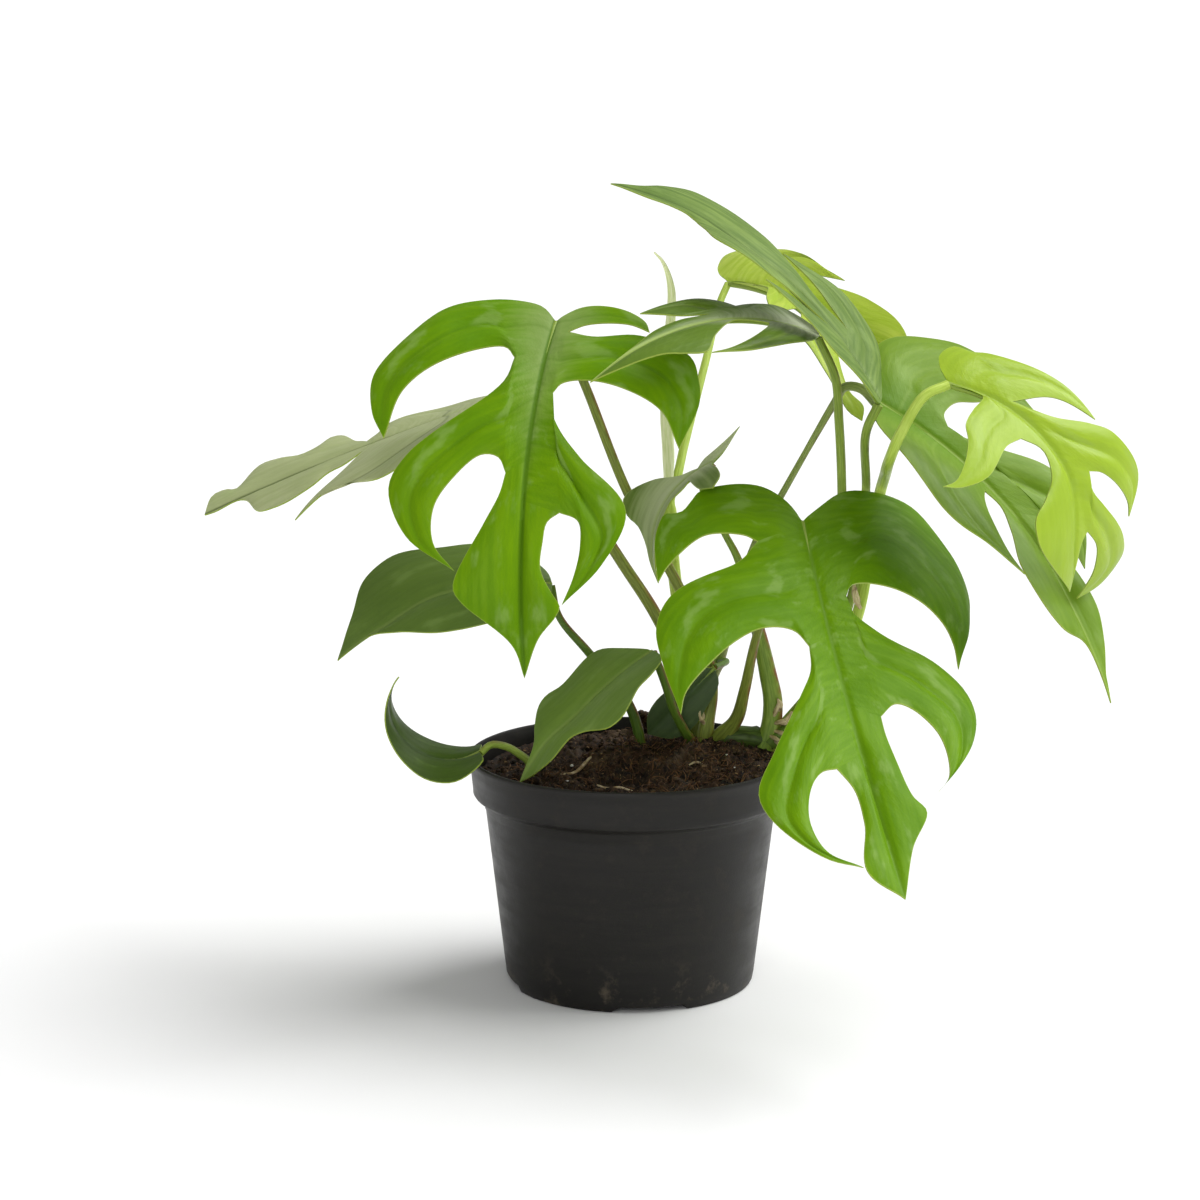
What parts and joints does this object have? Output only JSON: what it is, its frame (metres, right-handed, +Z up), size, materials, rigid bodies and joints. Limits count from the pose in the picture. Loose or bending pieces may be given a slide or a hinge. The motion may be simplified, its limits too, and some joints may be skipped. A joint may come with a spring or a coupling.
{
  "type": "potted mini monstera",
  "caption": "Young climbing aroid with deeply split green leaves on arching stalks, growing from a short vine in peat in a round black nursery pot.",
  "frame": {"origin": "centre of the pot's flat bottom", "axes": "+Z up, the pot's axis along Z; -Y is the front, towards the viewer; +X is the side that the largest leaf hangs over"},
  "size_m": [0.3405, 0.2906, 0.2942],
  "materials": {
    "pot": "satin",
    "peat": "matte",
    "stem": "satin",
    "leaf": "satin",
    "leaf_dark": "satin",
    "leaf_pale": "satin",
    "leaf_lime": "satin",
    "leaf_grey": "satin",
    "new_leaf": "satin"
  },
  "bodies": {
    "root": {"pot": "pot", "soil": "peat", "vine": "stem", "stalk_left_dark": "stem", "stalk_rim_left": "stem", "new_leaf": "new_leaf", "leaf_front_right": "leaf", "leaf_front_left": "leaf", "leaf_top": "leaf_pale", "leaf_back_lime": "leaf_lime", "leaf_back_right": "leaf", "leaf_front_lime": "leaf_lime", "leaf_centre": "leaf_pale", "leaf_small_centre": "leaf_grey", "leaf_left_dark": "leaf_dark", "leaf_rim_front": "leaf_dark", "leaf_rim_left": "leaf", "leaf_far_left": "leaf_pale", "leaf_low_small": "leaf_dark"}
  },
  "joints": []
}
